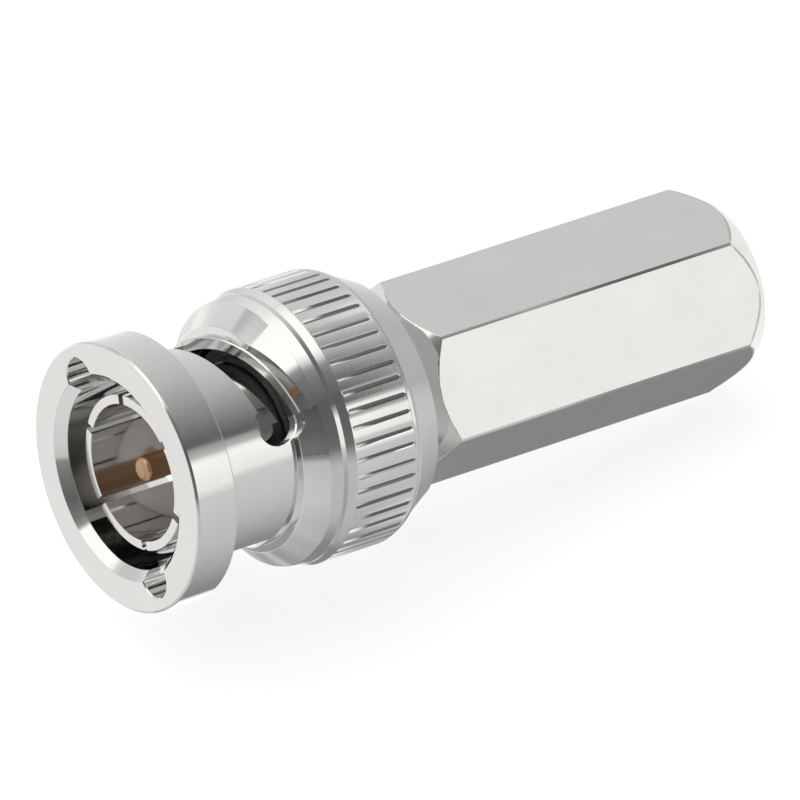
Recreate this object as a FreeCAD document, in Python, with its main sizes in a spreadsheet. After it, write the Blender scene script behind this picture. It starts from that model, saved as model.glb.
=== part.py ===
"""Bayonet coaxial cable plug with a hexagonal barrel.

Frame: millimetres, +X runs along the plug towards the cable, and the origin is on the axis
in the plane of the outer contact's tip. One flat of the barrel faces down, towards -Z.
Angles round the axis are measured from +Z and turn towards -Y.
"""
import FreeCAD, Part
import math
import os
import Sketcher

V = FreeCAD.Vector
doc = FreeCAD.newDocument("bayonet_plug")
sheet = doc.addObject("Spreadsheet::Sheet", "sizes")

# Sizes in millimetres and degrees, with what each one is
SIZES = [
    # Outer contact, measured from its tip
    ("contact_rad", 4.085, "outside radius of the outer contact"),
    ("contact_wall", 0.515, "wall of the outer contact"),
    ("contact_round", 0.16, "rounding of the outer contact's tip"),
    ("contact_length", 8.28, "from the tip to the shoulder on the hub"),
    ("contact_web", 0.68, "from the step in the bore to the shoulder"),
    ("core_step", 0.57, "height of the step in the bore"),
    ("stem_wall", 0.44, "wall of the stem that is pressed into the hub"),
    ("stem_length", 2.72, "length of the stem"),
    ("slot_count", 6.0, "number of slots in the outer contact"),
    ("slot_angle", -25.5, "where the first slot is"),
    ("slot_width", 0.4, "width of each slot"),
    ("slot_depth", 6.3, "from the tip to the rear end of each slot"),
    # Clearances
    ("face_gap", 0.02, "between faces that rest on each other"),
    ("press_gap", 0.01, "between the stem and its bore"),
    ("insul_gap", 0.05, "between the insulators and what holds them"),
    ("pin_gap", 0.045, "between the pin and the insulators"),
    ("hub_gap", 0.08, "between the hub and what turns on it"),
    ("bore_gap", 0.12, "between the washers and the nut's bore"),
    ("ring_side", 0.05, "beside the snap ring in its groove"),
    ("washer_gap", 0.03, "between the washers along the axis"),
    ("nut_play", 0.05, "between the nut's inner flange and the shoulder"),
    ("recess_gap", 0.2, "between the shoulder and the nut's recess"),
    # Hub, and what is stacked on it
    ("hub_step", 0.015, "how far the hub stands above the outer contact"),
    ("socket_space", 0.8, "room round the hub for the wall of the socket"),
    ("ring_land", 0.3, "from the hub's front to the snap ring groove"),
    ("ring_depth", 0.3, "depth of the snap ring groove"),
    ("ring_thick", 0.34, "thickness of the snap ring"),
    ("ring_height", 0.76, "height of the snap ring across its section"),
    ("ring_gap", 1.6, "opening of the snap ring"),
    ("gasket_length", 1.5, "length of the gasket"),
    ("gasket_round", 0.2, "rounding of the gasket"),
    ("seat_thick", 0.35, "thickness of the seat washer"),
    ("wave_thick", 0.15, "thickness of a wave washer"),
    ("wave_rise", 0.28, "half height of the waves"),
    ("wave_count", 3.0, "waves round each wave washer"),
    ("thrust_thick", 0.3, "thickness of the thrust washer"),
    ("shoulder_height", 0.7, "height above the hub of the shoulder that stops the nut"),
    ("shoulder_length", 1.45, "length of the shoulder"),
    ("neck_drop", 0.2, "how far the neck lies below the hub"),
    ("neck_length", 1.05, "length of the neck"),
    # Hexagonal barrel
    ("hex_flats", 9.38, "size of the barrel across its flats"),
    ("corner_trim", 0.043, "how much is turned off the hexagon's corners"),
    ("hex_length", 21.55, "from the neck to the rear face"),
    ("bevel_length", 1.6, "length of the rear bevel"),
    ("bevel_height", 0.95, "height of the rear bevel"),
    ("cable_bore_rad", 3.1, "radius of the bore that takes the cable"),
    ("mouth_widen", 0.45, "bevel of the bore's mouth"),
    ("guide_step", 0.4, "step down to the bore round the rear insulator"),
    # Coupling nut, outside
    ("nut_reach", 1.0, "how far the nut stands in front of the outer contact"),
    ("rim_wall", 0.67, "wall of the front rim outside the entry grooves"),
    ("rim_length", 2.42, "length of the front rim"),
    ("rim_bevel", 0.13, "bevel round the rim's front edge"),
    ("nut_wall", 0.6, "wall of the thin barrel"),
    ("grip_rad", 7.25, "outside radius of the bead and of the knurling"),
    ("grip_length", 7.88, "length of the knurled collar"),
    ("slope_length", 0.8, "length of the collar's sloping front"),
    ("lip_bevel", 0.16, "bevel between the slope and the plain band"),
    ("band_length", 0.52, "length of the plain band behind the slope, with that bevel"),
    ("band_drop", 0.17, "how far the plain band lies below the bead"),
    ("bead_slope", 0.11, "length of the step up to the bead"),
    ("bead_length", 0.5, "length of the bead"),
    ("knurl_length", 3.85, "length of the knurling"),
    ("border_drop", 0.05, "how far the plain border lies below the knurling"),
    ("border_fall", 0.95, "how far the border falls to the nut's rear edge"),
    ("border_back", 1.8, "length of that fall"),
    ("border_round", 1.3, "rounding of the border"),
    # Coupling nut, inside
    ("nut_mouth", 0.5, "bevel of the nut's mouth"),
    ("flange_wall", 1.2, "thickness of the nut's inner flange"),
    ("recess_depth", 2.0, "depth of the recess behind the inner flange"),
    # Bayonet track, measured from the nut's front face
    ("lug_angle", -47.1, "where the first lug goes in"),
    ("entry_rad", 1.08, "radius of each entry groove"),
    ("entry_out", 0.4, "how far each groove's centre lies outside the bore"),
    ("track_start", 5.3, "from the nut's front to the middle of the spiral slot"),
    ("track_width", 2.1, "width of the spiral slot"),
    ("track_pitch", 6.6, "advance of the spiral slot in a full turn"),
    ("track_turn", 92.0, "angle that the spiral slot covers"),
    ("pocket_reach", 6.55, "from the nut's front to the middle of the locking pocket"),
    ("pocket_turn", 93.5, "angle from the entry to the locking pocket"),
    ("pocket_rad", 1.12, "radius of the locking pocket"),
    # Knurling
    ("knurl_count", 52.0, "number of knurl grooves"),
    ("knurl_width", 0.2, "width of a knurl groove at the surface"),
    ("knurl_depth", 0.13, "depth of a knurl groove"),
    # Centre pin and the clip inside it
    ("pin_recess", 0.5, "from the outer contact's tip to the pin's tip"),
    ("pin_rad", 0.675, "radius of the centre pin"),
    ("pin_flat", 0.125, "radius of the flat on the pin's nose"),
    ("pin_stop", 1.6, "from the hub's front to the pin's collar"),
    ("pin_collar_height", 0.3, "height of the pin's collar above its body"),
    ("pin_collar_length", 0.7, "length of the pin's collar"),
    ("pin_body_step", 0.225, "step from the pin to its thicker body"),
    ("pin_tail_reach", 4.35, "how far the tail goes into the rear insulator"),
    ("pin_tail_wall", 0.3, "wall of the pin's tail"),
    ("pin_bore_depth", 4.4, "depth of that bore"),
    ("clip_inset", 0.3, "from each end of the bore to the clip"),
    ("clip_gap", 0.03, "between the clip and the bore"),
    ("clip_wall", 0.15, "wall of the clip"),
    ("clip_slot", 0.25, "gap along the clip"),
    # Insulators
    ("insul_head", 1.95, "length of the front insulator's head"),
    ("insul_reach", 4.7, "from the hub's front to the rear of the front insulator"),
    ("guide_length", 7.75, "length of the rear insulator"),
    ("guide_head", 0.9, "length of its head"),
    ("guide_end_gap", 0.2, "from the rear insulator to the end of its bore"),
    ("throat_length", 0.9, "length of the throat that centres the conductor"),
    ("funnel_rim", 0.45, "wall at the funnel's mouth"),
]

# Places and sizes that follow from those above
FOLLOWS = {
    "contact_bore": "contact_rad - contact_wall",
    "contact_depth": "contact_length - contact_web",
    "core_rad": "contact_bore - core_step",
    "hub_rad": "contact_rad + hub_step",
    "nut_bore_rad": "hub_rad + socket_space",
    "shoulder_rad": "hub_rad + shoulder_height",
    "neck_rad": "hub_rad - neck_drop",
    "guide_bore_rad": "core_rad - guide_step",
    "entry_offset": "nut_bore_rad + entry_out",
    "rim_rad": "entry_offset + entry_rad + rim_wall",
    "border_rad": "grip_rad - border_drop",
    "edge_rad": "border_rad - border_fall",
    "pin_round": "pin_rad - pin_flat",
    "pin_tail_rad": "pin_rad + pin_body_step",
    "pin_collar_rad": "pin_tail_rad + pin_collar_height",
    "pin_bore_rad": "pin_tail_rad - pin_tail_wall",
    "funnel_rad": "guide_rad - funnel_rim",
    "stem_rad": "core_rad + stem_wall",
    "stem_end": "contact_length + stem_length",
    "hub_front": "contact_length + face_gap",
    "groove_front": "hub_front + ring_land",
    "groove_rear": "groove_front + ring_side + ring_thick + ring_side",
    "groove_bottom": "hub_rad - ring_depth",
    "ring_front": "groove_front + ring_side",
    "ring_rear": "ring_front + ring_thick",
    "ring_in": "groove_bottom + insul_gap",
    "ring_out": "ring_in + ring_height",
    "gasket_rear": "ring_front - face_gap",
    "gasket_front": "gasket_rear - gasket_length",
    "slide_in": "hub_rad + hub_gap",
    "washer_out": "nut_bore_rad - bore_gap",
    "seat_front": "ring_rear + washer_gap",
    "seat_rear": "seat_front + seat_thick",
    "wave_front": "seat_rear + washer_gap",
    "wave_height": "wave_rise * 2 + wave_thick",
    "wave_rear": "wave_front + wave_height * 2 + face_gap",
    "thrust_front": "wave_rear + washer_gap",
    "thrust_rear": "thrust_front + thrust_thick",
    "flange_front": "thrust_rear + washer_gap",
    "flange_rear": "flange_front + flange_wall",
    "shoulder_front": "flange_rear + nut_play",
    "shoulder_rear": "shoulder_front + shoulder_length",
    "recess_rad": "shoulder_rad + recess_gap",
    "neck_rear": "shoulder_rear + neck_length",
    "hex_half": "hex_flats / 2",
    "hex_corner": "hex_flats * 0.57735027",
    "hex_half_side": "hex_flats * 0.28867513",
    "cone_rad": "hex_corner - corner_trim",
    "cone_rear": "neck_rear + cone_rad - neck_rad",
    "hex_rear": "neck_rear + hex_length",
    "bevel_front": "hex_rear - bevel_length",
    "bevel_rad": "cone_rad - bevel_height",
    "mouth_front": "hex_rear - mouth_widen",
    "mouth_rad": "cable_bore_rad + mouth_widen",
    "flats_front": "shoulder_rear + neck_length / 3",
    "core_rear": "guide_head_rear + insul_gap",
    "nut_front": "0 - nut_reach",
    "rim_rear": "rim_length - nut_reach",
    "barrel_rad": "nut_bore_rad + nut_wall",
    "nut_rear": "flange_rear + recess_depth",
    "border_place": "nut_rear - border_back",
    "grip_front": "nut_rear - grip_length",
    "slope_rear": "grip_front + slope_length",
    "band_rad": "grip_rad - band_drop",
    "band_rear": "slope_rear + band_length",
    "bead_front": "band_rear + bead_slope",
    "knurl_front": "bead_front + bead_length",
    "knurl_rear": "knurl_front + knurl_length",
    "track_x": "track_start - nut_reach",
    "track_half": "track_width / 2",
    "track_in": "nut_bore_rad - nut_wall / 2",
    "track_out": "grip_rad",
    "entry_rear": "track_x + track_half",
    "pocket_x": "pocket_reach - nut_reach",
    "knurl_half": "knurl_width / 2",
    "slot_half": "slot_width / 2",
    "pin_collar_front": "hub_front + pin_stop",
    "pin_collar_rear": "pin_collar_front + pin_collar_length",
    "insul_rad": "contact_bore - insul_gap",
    "insul_step": "contact_depth - insul_gap",
    "insul_front": "insul_step - insul_head",
    "insul_stem": "core_rad - insul_gap",
    "insul_rear": "hub_front + insul_reach",
    "insul_hole": "pin_tail_rad + pin_gap",
    "well_front": "pin_collar_front - insul_gap",
    "well_rad": "pin_collar_rad + pin_gap",
    "guide_front": "insul_rear + insul_gap",
    "guide_rear": "guide_front + guide_length",
    "guide_head_rear": "guide_front + guide_head",
    "guide_rad": "guide_bore_rad - insul_gap",
    "guide_bore_rear": "guide_rear + guide_end_gap",
    "pin_rear": "guide_front + pin_tail_reach",
    "pin_bore_front": "pin_rear - pin_bore_depth",
    "guide_hole_rear": "pin_rear + insul_gap",
    "throat_rear": "guide_hole_rear + throat_length",
    "clip_front": "pin_bore_front + clip_inset",
    "clip_rear": "pin_rear - clip_inset",
    "clip_rad": "pin_bore_rad - clip_gap",
    "clip_bore": "clip_rad - clip_wall",
}
for row, (alias, value, what) in enumerate(SIZES, start=1):
    sheet.set("A%d" % row, what)
    sheet.set("B%d" % row, repr(value))
    sheet.setAlias("B%d" % row, alias)
doc.recompute()


def value_of(words):
    """Number that an expression on the names above stands for."""
    total = 0.0
    term = 0.0
    action = "+"
    for word in words.split():
        if word in ("+", "-", "*", "/"):
            action = word
            continue
        if word[0].isdigit():
            number = float(word)
        elif word in FOLLOWS:
            number = value_of(FOLLOWS[word])
        else:
            number = float(getattr(sheet, word))
        if action == "*":
            term *= number
        elif action == "/":
            term /= number
        else:
            total += term
            term = number if action == "+" else -number
    return total + term


def bound(words):
    """The same expression, written for a property that follows the sheet."""
    out = []
    for word in words.split():
        if word in FOLLOWS:
            out.append("(" + bound(FOLLOWS[word]) + ")")
        elif word[0].isalpha():
            out.append("sizes." + word)
        else:
            out.append(word)
    return " ".join(out)


def new_body(label):
    body = doc.addObject("PartDesign::Body", label)
    body.Label = label
    return body


def plane_sketch(body, label, role):
    """Empty sketch on one of the body's own origin planes."""
    plane = [f for f in body.Origin.OriginFeatures if f.Role == role][0]
    sketch = body.newObject("Sketcher::SketchObject", label)
    sketch.AttachmentSupport = [(plane, "")]
    sketch.MapMode = "FlatFace"
    return sketch


def add_polygon(sketch, points):
    """Closed outline whose corners follow the sheet: each corner is two sums of names."""
    first = sketch.GeometryCount
    corners = [V(value_of(a), value_of(b), 0) for a, b in points]
    count = len(corners)
    for i, corner in enumerate(corners):
        sketch.addGeometry(Part.LineSegment(corner, corners[(i + 1) % count]), False)
    for i in range(count):
        after = first + (i + 1) % count
        sketch.addConstraint(Sketcher.Constraint("Coincident", first + i, 2, after, 1))
    for i, (along, across) in enumerate(points):
        for kind, words in (("DistanceX", along), ("DistanceY", across)):
            if words == "0":
                axis = -2 if kind == "DistanceX" else -1
                sketch.addConstraint(Sketcher.Constraint("PointOnObject", first + i, 1, axis))
                continue
            rule = Sketcher.Constraint(kind, -1, 1, first + i, 1, value_of(words))
            number = sketch.addConstraint(rule)
            sketch.setExpression("Constraints[%d]" % number, bound(words))


def add_circle(sketch, along, across, radius):
    """Circle whose centre and radius follow the sheet."""
    number = sketch.GeometryCount
    centre = V(value_of(along), value_of(across), 0)
    sketch.addGeometry(Part.Circle(centre, V(0, 0, 1), value_of(radius)), False)
    for kind, words in (("DistanceX", along), ("DistanceY", across)):
        if words == "0":
            axis = -2 if kind == "DistanceX" else -1
            sketch.addConstraint(Sketcher.Constraint("PointOnObject", number, 3, axis))
            continue
        rule = Sketcher.Constraint(kind, -1, 1, number, 3, value_of(words))
        place = sketch.addConstraint(rule)
        sketch.setExpression("Constraints[%d]" % place, bound(words))
    rule = sketch.addConstraint(Sketcher.Constraint("Radius", number, value_of(radius)))
    sketch.setExpression("Constraints[%d]" % rule, bound(radius))


def turned(body, label, points):
    """Piece turned round the plug's axis from its half section."""
    sketch = plane_sketch(body, label + "_section", "XZ_Plane")
    add_polygon(sketch, points)
    feature = body.newObject("PartDesign::Revolution", label)
    feature.Profile = sketch
    feature.ReferenceAxis = (sketch, ["H_Axis"])
    feature.Angle = 360.0
    doc.recompute()
    return feature


def cut_through(body, label, sketch, reach):
    """Cut of a sketch to both sides of its plane, each as far as the sum of names says."""
    before = body.Shape.Volume
    feature = body.newObject("PartDesign::Pocket", label)
    feature.Profile = sketch
    feature.Midplane = True
    feature.Length = 2.0 * value_of(reach)
    feature.setExpression("Length", "2 * (%s)" % bound(reach))
    doc.recompute()
    if body.Shape.Volume > before - 1e-4:
        raise RuntimeError(label + " removed nothing")
    return feature


def lift(sketch, words):
    """Move a sketch along the plug's axis, off its plane."""
    place = FreeCAD.Placement(V(0, 0, value_of(words)), FreeCAD.Rotation())
    sketch.AttachmentOffset = place
    sketch.setExpression("AttachmentOffset.Base.z", bound(words))


def cut_forward(body, label, sketch, reach):
    """Cut of a sketch towards +X, as far as the expression says."""
    before = body.Shape.Volume
    feature = body.newObject("PartDesign::Pocket", label)
    feature.Profile = sketch
    feature.Length = value_of(reach)
    feature.setExpression("Length", bound(reach))
    feature.Reversed = True
    doc.recompute()
    if body.Shape.Volume > before - 1e-5:
        raise RuntimeError(label + " removed nothing")
    return feature


def repeat_round(body, label, features, count, angle):
    """Copies of features round the plug's axis."""
    pattern = body.newObject("PartDesign::PolarPattern", label)
    pattern.Originals = features
    axis = [f for f in body.Origin.OriginFeatures if f.Role == "X_Axis"][0]
    pattern.Axis = (axis, [""])
    pattern.Angle = angle
    pattern.Occurrences = int(count)
    body.Tip = pattern
    doc.recompute()
    return pattern


def turn_by(body, alias):
    """Turn of a whole piece round the plug's axis."""
    body.Placement = FreeCAD.Placement(V(0, 0, 0), FreeCAD.Rotation(V(1, 0, 0), value_of(alias)))
    body.setExpression("Placement.Rotation.Angle", "sizes." + alias)


def rounded(body, label, alias, radius, along):
    """Rounding of the circular edge of one radius at one place on the axis."""
    names = []
    for i, edge in enumerate(body.Shape.Edges, start=1):
        curve = edge.Curve
        if not isinstance(curve, Part.Circle):
            continue
        if abs(curve.Radius - radius) < 1e-3 and abs(edge.BoundBox.Center.x - along) < 1e-3:
            names.append("Edge%d" % i)
    if not names:
        raise RuntimeError(label + " found no edge")
    base = body.Tip
    feature = body.newObject("PartDesign::Fillet", label)
    feature.Base = (base, names)
    feature.Radius = value_of(alias)
    feature.setExpression("Radius", bound(alias))
    doc.recompute()
    return feature


# The coupling nut: rim, thin barrel and collar in one turned piece
nut = new_body("coupling_nut")
turned(nut, "nut_turned", [
    ("nut_front + rim_bevel", "rim_rad"),
    ("rim_rear", "rim_rad"),
    ("rim_rear", "barrel_rad"),
    ("grip_front", "barrel_rad"),
    ("slope_rear", "band_rad - lip_bevel"),
    ("slope_rear + lip_bevel", "band_rad"),
    ("band_rear", "band_rad"),
    ("bead_front", "grip_rad"),
    ("knurl_rear", "grip_rad"),
    ("border_place", "border_rad"),
    ("nut_rear", "edge_rad"),
    ("nut_rear", "recess_rad"),
    ("flange_rear", "recess_rad"),
    ("flange_rear", "slide_in"),
    ("flange_front", "slide_in"),
    ("flange_front", "nut_bore_rad"),
    ("nut_front + nut_mouth", "nut_bore_rad"),
    ("nut_front", "nut_bore_rad + nut_mouth"),
    ("nut_front", "rim_rad - rim_bevel"),
])
rounded(nut, "rear_border", "border_round", value_of("border_rad"), value_of("border_place"))

# Two entry grooves for the socket's lugs, on opposite sides
entry = plane_sketch(nut, "entry_grooves_section", "YZ_Plane")
add_circle(entry, "0", "entry_offset", "entry_rad")
add_circle(entry, "0", "0 - entry_offset", "entry_rad")
cut_through(nut, "entry_grooves", entry, "entry_rear")

# Two spiral slots that the lugs climb as the nut is turned
for side, sign in (("upper", ""), ("lower", "0 - ")):
    before = nut.Shape.Volume
    section = plane_sketch(nut, side + "_track_section", "XZ_Plane")
    add_polygon(section, [
        ("track_x - track_half", sign + "track_in"),
        ("track_x + track_half", sign + "track_in"),
        ("track_x + track_half", sign + "track_out"),
        ("track_x - track_half", sign + "track_out"),
    ])
    track = nut.newObject("PartDesign::SubtractiveHelix", side + "_track")
    track.Profile = section
    track.ReferenceAxis = (section, ["H_Axis"])
    track.Mode = "pitch-turns-angle"
    track.Pitch = value_of("track_pitch")
    track.setExpression("Pitch", bound("track_pitch"))
    track.Turns = value_of("track_turn / 360")
    track.setExpression("Turns", bound("track_turn / 360"))
    track.LeftHanded = False
    track.Reversed = False
    doc.recompute()
    if nut.Shape.Volume > before - 1e-4:
        raise RuntimeError(side + " track removed nothing")

# A round pocket at the end of each slot, where the lug locks
pocket = plane_sketch(nut, "locking_pockets_section", "XZ_Plane")
pocket.AttachmentOffset = FreeCAD.Placement(V(0, 0, 0), FreeCAD.Rotation(V(1, 0, 0), 1.0))
pocket.setExpression("AttachmentOffset.Rotation.Angle", bound("pocket_turn - 90"))
add_circle(pocket, "pocket_x", "0", "pocket_rad")
cut_through(nut, "locking_pockets", pocket, "track_out")

# Straight knurling: one fine groove, repeated all the way round
groove = plane_sketch(nut, "knurl_section", "YZ_Plane")
lift(groove, "knurl_front")
add_polygon(groove, [
    ("knurl_half", "grip_rad"),
    ("knurl_half", "grip_rad + knurl_depth"),
    ("0 - knurl_half", "grip_rad + knurl_depth"),
    ("0 - knurl_half", "grip_rad"),
    ("0", "grip_rad - knurl_depth"),
])
knurl = cut_forward(nut, "knurl_groove", groove, "knurl_length")
repeat_round(nut, "knurling", [knurl], value_of("knurl_count"), 360.0)
turn_by(nut, "lug_angle")

# The hexagonal barrel and the hub in front of it, turned from one bar
barrel = new_body("hex_body")
turned(barrel, "hex_turned", [
    ("hub_front", "stem_rad + press_gap"),
    ("hub_front", "hub_rad"),
    ("groove_front", "hub_rad"),
    ("groove_front", "groove_bottom"),
    ("groove_rear", "groove_bottom"),
    ("groove_rear", "hub_rad"),
    ("shoulder_front", "hub_rad"),
    ("shoulder_front", "shoulder_rad"),
    ("shoulder_rear", "shoulder_rad"),
    ("shoulder_rear", "neck_rad"),
    ("neck_rear", "neck_rad"),
    ("cone_rear", "cone_rad"),
    ("bevel_front", "cone_rad"),
    ("hex_rear", "bevel_rad"),
    ("hex_rear", "mouth_rad"),
    ("mouth_front", "cable_bore_rad"),
    ("guide_bore_rear", "cable_bore_rad"),
    ("guide_bore_rear", "guide_bore_rad"),
    ("core_rear", "guide_bore_rad"),
    ("core_rear", "core_rad"),
    ("stem_end + face_gap", "core_rad"),
    ("stem_end + face_gap", "stem_rad + press_gap"),
])
flats = plane_sketch(barrel, "hex_flats_section", "YZ_Plane")
lift(flats, "flats_front")
add_circle(flats, "0", "0", "hex_flats")
add_polygon(flats, [
    ("0 - hex_half_side", "hex_half"),
    ("hex_half_side", "hex_half"),
    ("hex_corner", "0"),
    ("hex_half_side", "0 - hex_half"),
    ("0 - hex_half_side", "0 - hex_half"),
    ("0 - hex_corner", "0"),
])
cut_forward(barrel, "hex_flats_cut", flats, "hex_rear - flats_front + bevel_length")

# The slotted outer contact, pressed into the hub by its stem
contact = new_body("outer_contact")
turned(contact, "contact_turned", [
    ("0", "contact_bore"),
    ("0", "contact_rad"),
    ("contact_length", "contact_rad"),
    ("contact_length", "stem_rad"),
    ("stem_end", "stem_rad"),
    ("stem_end", "core_rad"),
    ("contact_depth", "core_rad"),
    ("contact_depth", "contact_bore"),
])
rounded(contact, "contact_tip", "contact_round", value_of("contact_rad"), 0.0)
slots = plane_sketch(contact, "contact_slot_section", "YZ_Plane")
add_polygon(slots, [
    ("slot_half", "contact_rad + contact_wall"),
    ("0 - slot_half", "contact_rad + contact_wall"),
    ("0 - slot_half", "0 - contact_rad - contact_wall"),
    ("slot_half", "0 - contact_rad - contact_wall"),
])
saw = cut_through(contact, "contact_slot", slots, "slot_depth")
cuts = value_of("slot_count / 2")
repeat_round(contact, "contact_slots", [saw], cuts, 180.0 * (cuts - 1.0) / cuts)
turn_by(contact, "slot_angle")

# The centre pin, with a bore in its tail for the conductor
pin = new_body("centre_pin")
turned(pin, "pin_turned", [
    ("pin_recess", "0"),
    ("pin_recess", "pin_rad"),
    ("insul_front", "pin_rad"),
    ("insul_front", "pin_tail_rad"),
    ("pin_collar_front", "pin_tail_rad"),
    ("pin_collar_front", "pin_collar_rad"),
    ("pin_collar_rear", "pin_collar_rad"),
    ("pin_collar_rear", "pin_tail_rad"),
    ("pin_rear", "pin_tail_rad"),
    ("pin_rear", "pin_bore_rad"),
    ("pin_bore_front", "pin_bore_rad"),
    ("pin_bore_front", "0"),
])
rounded(pin, "pin_nose", "pin_round", value_of("pin_rad"), value_of("pin_recess"))

# The spring clip in the pin's tail
clip = new_body("conductor_clip")
turned(clip, "clip_turned", [
    ("clip_front", "clip_bore"),
    ("clip_front", "clip_rad"),
    ("clip_rear", "clip_rad"),
    ("clip_rear", "clip_bore"),
])
gap = plane_sketch(clip, "clip_gap_section", "XZ_Plane")
add_polygon(gap, [
    ("clip_front - clip_wall", "0"),
    ("clip_rear + clip_wall", "0"),
    ("clip_rear + clip_wall", "clip_rad + clip_wall"),
    ("clip_front - clip_wall", "clip_rad + clip_wall"),
])
cut_through(clip, "clip_gap_cut", gap, "clip_slot / 2")

# The insulator in front of the pin's collar
front = new_body("front_insulator")
turned(front, "front_turned", [
    ("insul_front", "insul_hole"),
    ("insul_front", "insul_rad"),
    ("insul_step", "insul_rad"),
    ("insul_step", "insul_stem"),
    ("insul_rear", "insul_stem"),
    ("insul_rear", "well_rad"),
    ("well_front", "well_rad"),
    ("well_front", "insul_hole"),
])

# The insulator behind it, with the funnel for the conductor
guide = new_body("rear_insulator")
turned(guide, "guide_turned", [
    ("guide_front", "insul_hole"),
    ("guide_front", "insul_stem"),
    ("guide_head_rear", "insul_stem"),
    ("guide_head_rear", "guide_rad"),
    ("guide_rear", "guide_rad"),
    ("guide_rear", "funnel_rad"),
    ("throat_rear", "pin_bore_rad"),
    ("guide_hole_rear", "pin_bore_rad"),
    ("guide_hole_rear", "insul_hole"),
])

# The soft gasket that the socket's edge presses on
gasket = new_body("gasket")
turned(gasket, "gasket_turned", [
    ("gasket_front", "hub_rad + face_gap"),
    ("gasket_front", "washer_out"),
    ("gasket_rear", "washer_out"),
    ("gasket_rear", "hub_rad + face_gap"),
])
rounded(gasket, "gasket_edge", "gasket_round", value_of("washer_out"), value_of("gasket_front"))

# The open snap ring in the hub's groove
ring = new_body("snap_ring")
turned(ring, "ring_turned", [
    ("ring_front", "ring_in"),
    ("ring_front", "ring_out"),
    ("ring_rear", "ring_out"),
    ("ring_rear", "ring_in"),
])
opening = plane_sketch(ring, "ring_gap_section", "XZ_Plane")
add_polygon(opening, [
    ("ring_front - ring_thick", "0"),
    ("ring_rear + ring_thick", "0"),
    ("ring_rear + ring_thick", "ring_out + ring_height"),
    ("ring_front - ring_thick", "ring_out + ring_height"),
])
cut_through(ring, "ring_gap_cut", opening, "ring_gap / 2")

# Two flat washers
seat = new_body("seat_washer")
turned(seat, "seat_turned", [
    ("seat_front", "slide_in"),
    ("seat_front", "washer_out"),
    ("seat_rear", "washer_out"),
    ("seat_rear", "slide_in"),
])
thrust = new_body("thrust_washer")
turned(thrust, "thrust_turned", [
    ("thrust_front", "slide_in"),
    ("thrust_front", "washer_out"),
    ("thrust_rear", "washer_out"),
    ("thrust_rear", "slide_in"),
])


def wavy_edge(radius, start, swing):
    """Closed wavy curve round the axis: start is its lowest place along the axis."""
    waves = round(value_of("wave_count"))
    rise = value_of("wave_rise")
    points = []
    steps = 24 * waves
    for i in range(steps):
        angle = 2.0 * math.pi * i / steps
        along = start + rise * (1.0 + swing * math.cos(waves * angle))
        points.append(V(along, radius * math.sin(angle), radius * math.cos(angle)))
    curve = Part.BSplineCurve()
    curve.interpolate(points, PeriodicFlag=True)
    return curve.toShape()


def wave_washer(start, swing):
    """Thin wavy ring between two radii."""
    thick = value_of("wave_thick")
    inner = value_of("slide_in + face_gap")
    outer = value_of("washer_out - face_gap")
    edges = [
        wavy_edge(inner, start, swing),
        wavy_edge(outer, start, swing),
        wavy_edge(outer, start + thick, swing),
        wavy_edge(inner, start + thick, swing),
    ]
    faces = [Part.makeRuledSurface(edges[i], edges[(i + 1) % 4]) for i in range(4)]
    shell = Part.makeShell([f for face in faces for f in face.Faces])
    solid = Part.makeSolid(shell)
    if solid.Volume < 0:
        solid.reverse()
    return solid


# The two wave washers, crest to crest
waves = doc.addObject("Part::Feature", "wave_washers")
waves.Label = "wave_washers"
waves.Shape = Part.makeCompound([
    wave_washer(value_of("wave_front"), 1.0),
    wave_washer(value_of("wave_front + wave_height + face_gap"), -1.0),
])
waves.Placement = FreeCAD.Placement(V(0, 0, 0), FreeCAD.Rotation())

doc.recompute()
pieces = [o for o in doc.Objects if o.TypeId == "PartDesign::Body"] + [waves]
for item in doc.Objects:
    if "Invalid" in item.State or "Error" in item.State:
        raise RuntimeError("%s failed: %s" % (item.Label, item.State))
for piece in pieces:
    shape = piece.Shape
    if shape.isNull() or not shape.isValid() or not shape.Solids:
        raise RuntimeError(piece.Label + " has no valid solid")

os.makedirs("parts", exist_ok=True)
for piece in pieces:
    shape = piece.Shape
    shape.exportStep("parts/%s.step" % piece.Label)
    box = shape.BoundBox
    print("%-16s solids %d faces %3d volume %8.2f x %6.2f to %6.2f" % (
        piece.Label, len(shape.Solids), len(shape.Faces), shape.Volume, box.XMin, box.XMax))
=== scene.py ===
# %% [markdown]
# # A bayonet cable plug
# The object is a male plug for coaxial cable. A knurled coupling nut turns and slides on a long
# hexagonal barrel. Inside the nut stands a springy slotted sleeve, and in its middle the centre pin.
# All pieces share one frame: +X runs along the plug towards the cable, and the origin lies on the
# axis, in the plane of the sleeve's tip.
#
# The solids come in ready made. The camera and the lights come first here, then the finishes, and
# then the pieces that the eye meets are made again with the small roundings, grooves and threads
# that the plain solids leave out.

# %% Load the frame
import bpy, bmesh, math
import numpy as np
from mathutils import Matrix, Vector


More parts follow.
